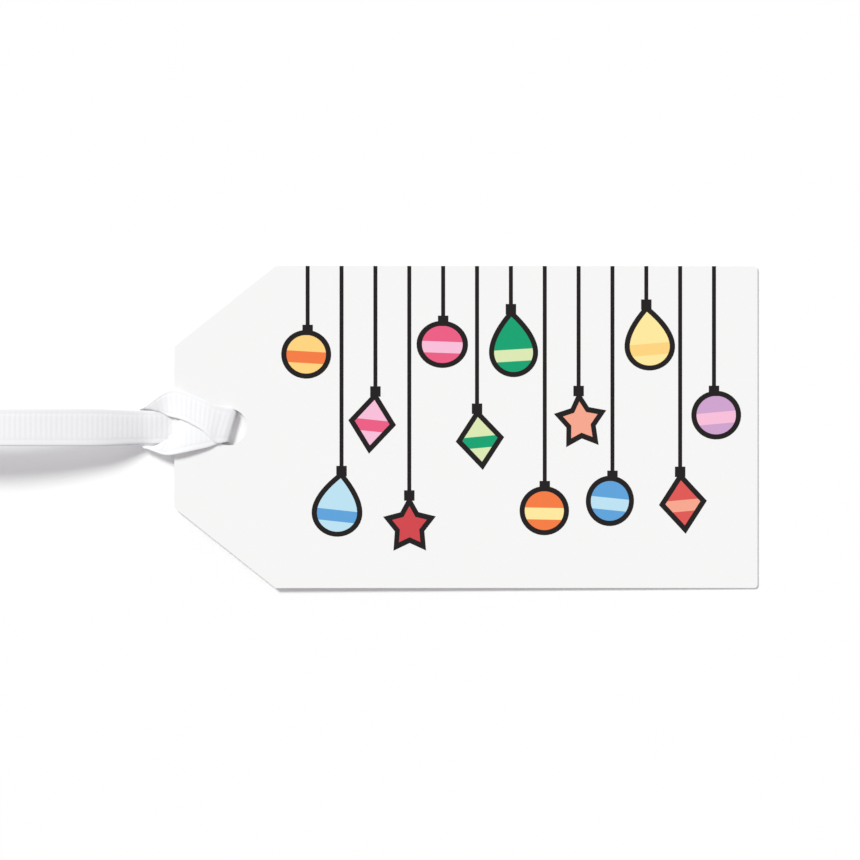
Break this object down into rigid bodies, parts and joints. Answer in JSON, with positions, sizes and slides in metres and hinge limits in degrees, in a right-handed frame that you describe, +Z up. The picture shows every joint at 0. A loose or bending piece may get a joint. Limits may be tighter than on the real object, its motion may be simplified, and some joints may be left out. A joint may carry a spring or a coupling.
{
  "type": "gift tag",
  "caption": "White card gift tag with clipped corners, a punched hole and a grosgrain ribbon hitched through it, whose free tails lift and peel apart so that it can be tied on.",
  "frame": {"origin": "under the middle of the card, on the surface that the tag lies on, printed face up", "axes": "+X along the card away from the punched hole, +Y across the card, +Z up out of the printed face"},
  "size_m": [0.1927, 0.056, 0.0091],
  "materials": {
    "card_stock": "matte",
    "ribbon": "satin"
  },
  "bodies": {
    "card": {"card": "card_stock"},
    "hitch": {"ribbon_hitch": "ribbon"},
    "lower_tail": {"ribbon_lower_tail": "ribbon"},
    "upper_tail": {"ribbon_upper_tail": "ribbon"}
  },
  "joints": [
    {"name": "hitch_swivel", "type": "hinge", "parent": "card", "child": "hitch", "pos_m": [-0.0413, 0, 0.00096], "axis": [0.0084, 0, 1], "range_deg": [-10, 10]},
    {"name": "lower_tail_lift", "type": "hinge", "parent": "hitch", "child": "lower_tail", "pos_m": [-0.05575, 0, 0.00208], "axis": [0, 1, 0], "range_deg": [0, 90]},
    {"name": "upper_tail_peel", "type": "hinge", "parent": "lower_tail", "child": "upper_tail", "pos_m": [-0.05575, 0, 0.00208], "axis": [0, 1, 0], "range_deg": [0, 45]}
  ]
}
